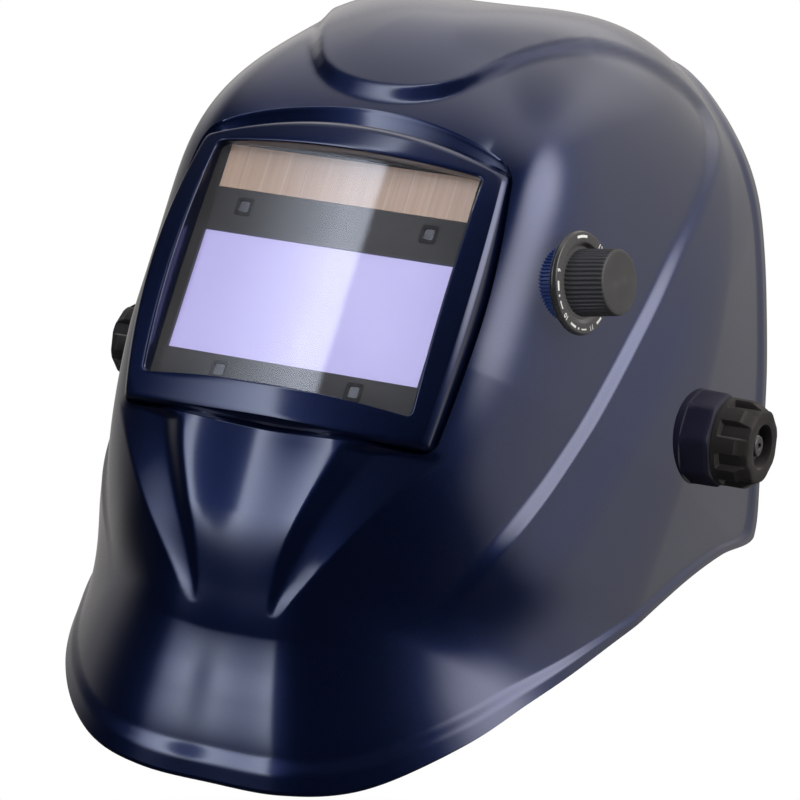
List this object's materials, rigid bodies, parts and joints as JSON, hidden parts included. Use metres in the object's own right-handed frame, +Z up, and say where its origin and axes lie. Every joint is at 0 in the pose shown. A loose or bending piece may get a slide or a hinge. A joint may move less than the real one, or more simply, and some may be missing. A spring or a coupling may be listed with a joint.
{
  "type": "welding helmet",
  "caption": "Auto-darkening welding helmet: navy shell, framed filter window, shade dial, tilt pivots and inner ratchet headgear.",
  "frame": {"origin": "middle of the tilt axis, between the two pivot knobs", "axes": "+Z up as worn, -Y the way the wearer looks, +X the wearer's left, the side of the shade dial"},
  "size_m": [0.262, 0.2718, 0.3169],
  "materials": {
    "shell_navy": "deep navy metallic under a clear gloss",
    "clear_lens": "clear polycarbonate",
    "cartridge_case": "fine matt",
    "filter_glass": "violet interference coating",
    "solar_cells": "copper coloured cells under glass",
    "sensor_window": "dark window",
    "board": "green board",
    "battery_steel": "satin",
    "knob_black": "fine matt",
    "frame_grey": "fine matt",
    "dial_ring": "satin with white printed scale",
    "steel": "zinc plated",
    "lead_black": "matt sleeve",
    "washer_fibre": "fibre",
    "headgear_black": "moulded, fine grain",
    "pinion_black": "smooth",
    "pad_fabric": "padded sweatband cloth"
  },
  "bodies": {
    "headgear": {"headband_front": "headgear_black", "brow_sweatband": "pad_fabric", "crown_strap_left": "headgear_black", "crown_strap_right": "headgear_black", "crown_strap_front": "headgear_black", "crown_button": "headgear_black", "side_arm_left": "headgear_black", "side_arm_right": "headgear_black", "arm_rivet_left": "steel", "arm_rivet_right": "steel"},
    "pivot_carriers": {"slide_block_left": "headgear_black", "slide_block_right": "headgear_black", "stop_plate_left": "headgear_black", "stop_plate_right": "headgear_black", "friction_washer_left": "washer_fibre", "friction_washer_right": "washer_fibre", "pivot_stud_left": "steel", "pivot_stud_right": "steel"},
    "helmet_shell": {"shell": "shell_navy", "front_cover_lens": "clear_lens", "filter_housing": "cartridge_case", "housing_cover": "cartridge_case", "filter_glass": "filter_glass", "solar_panel": "solar_cells", "arc_sensor_1": "sensor_window", "arc_sensor_2": "sensor_window", "arc_sensor_3": "sensor_window", "arc_sensor_4": "sensor_window", "circuit_board": "board", "battery_1": "battery_steel", "battery_2": "battery_steel", "lens_frame": "frame_grey", "inner_cover_lens": "clear_lens", "dial_scale_ring": "dial_ring", "potentiometer": "steel", "potentiometer_nut": "steel", "control_lead": "lead_black", "lead_clip": "frame_grey"},
    "shade_dial": {"shade_knob": "knob_black"},
    "sensitivity": {"sensitivity_knob": "knob_black"},
    "delay": {"delay_knob": "knob_black"},
    "latch": {"cartridge_latch": "knob_black"},
    "knob_left": {"tension_knob_left": "knob_black"},
    "knob_right": {"tension_knob_right": "knob_black"},
    "nape_ratchet": {"ratchet_housing": "headgear_black", "ratchet_cover": "headgear_black", "nape_pad": "pad_fabric"},
    "size_wheel": {"size_knob": "knob_black", "ratchet_pinion": "pinion_black"},
    "strap_left": {"rear_strap_left": "headgear_black"},
    "strap_right": {"rear_strap_right": "headgear_black"}
  },
  "joints": [
    {"name": "carrier_slide", "type": "slide", "parent": "headgear", "child": "pivot_carriers", "axis": [0, 1, 0], "range_m": [-0.006, 0.006]},
    {"name": "shell_tilt", "type": "hinge", "parent": "pivot_carriers", "child": "helmet_shell", "pos_m": [0, 0, 0], "axis": [-1, 0, 0], "range_deg": [0, 68]},
    {"name": "shade_turn", "type": "hinge", "parent": "helmet_shell", "child": "shade_dial", "pos_m": [0.0863, -0.0833, 0.0231], "axis": [0.9803, -0.176, 0.09], "range_deg": [-135, 135]},
    {"name": "sensitivity_turn", "type": "hinge", "parent": "helmet_shell", "child": "sensitivity", "pos_m": [0.042, -0.0981, 0.024], "axis": [0, 1, 0], "range_deg": [-135, 135]},
    {"name": "delay_turn", "type": "hinge", "parent": "helmet_shell", "child": "delay", "pos_m": [-0.042, -0.0981, 0.024], "axis": [0, 1, 0], "range_deg": [-135, 135]},
    {"name": "latch_swing", "type": "hinge", "parent": "helmet_shell", "child": "latch", "pos_m": [0, -0.0934, -0.0485], "axis": [-1, 0, 0], "range_deg": [0, 60]},
    {"name": "tension_left", "type": "hinge", "parent": "pivot_carriers", "child": "knob_left", "pos_m": [0.12, 0, 0], "axis": [1, 0, 0], "range_deg": [0, 270]},
    {"name": "tension_right", "type": "hinge", "parent": "pivot_carriers", "child": "knob_right", "pos_m": [-0.12, 0, 0], "axis": [-1, 0, 0], "range_deg": [0, 270]},
    {"name": "nape_slide", "type": "slide", "parent": "headgear", "child": "nape_ratchet", "axis": [0, -0.9511, 0.309], "range_m": [-0.00698, 0.00698]},
    {"name": "size_turn", "type": "hinge", "parent": "nape_ratchet", "child": "size_wheel", "pos_m": [0, 0.06022, 0.02306], "axis": [0, 0.9511, -0.309], "range_deg": [-80, 80]},
    {"name": "strap_left_feed", "type": "hinge", "parent": "nape_ratchet", "child": "strap_left", "pos_m": [0, 0.06022, 0.02306], "axis": [0, -0.309, -0.9511], "range_deg": [-5.5, 5.5]},
    {"name": "strap_right_feed", "type": "hinge", "parent": "nape_ratchet", "child": "strap_right", "pos_m": [0, 0.06022, 0.02306], "axis": [0, 0.309, 0.9511], "range_deg": [-5.5, 5.5]}
  ],
  "couplings": [
    {"joint": "size_turn", "follows": "nape_slide", "rad_per_m": 200},
    {"joint": "strap_left_feed", "follows": "nape_slide", "rad_per_m": 13.123},
    {"joint": "strap_right_feed", "follows": "nape_slide", "rad_per_m": 13.514}
  ]
}
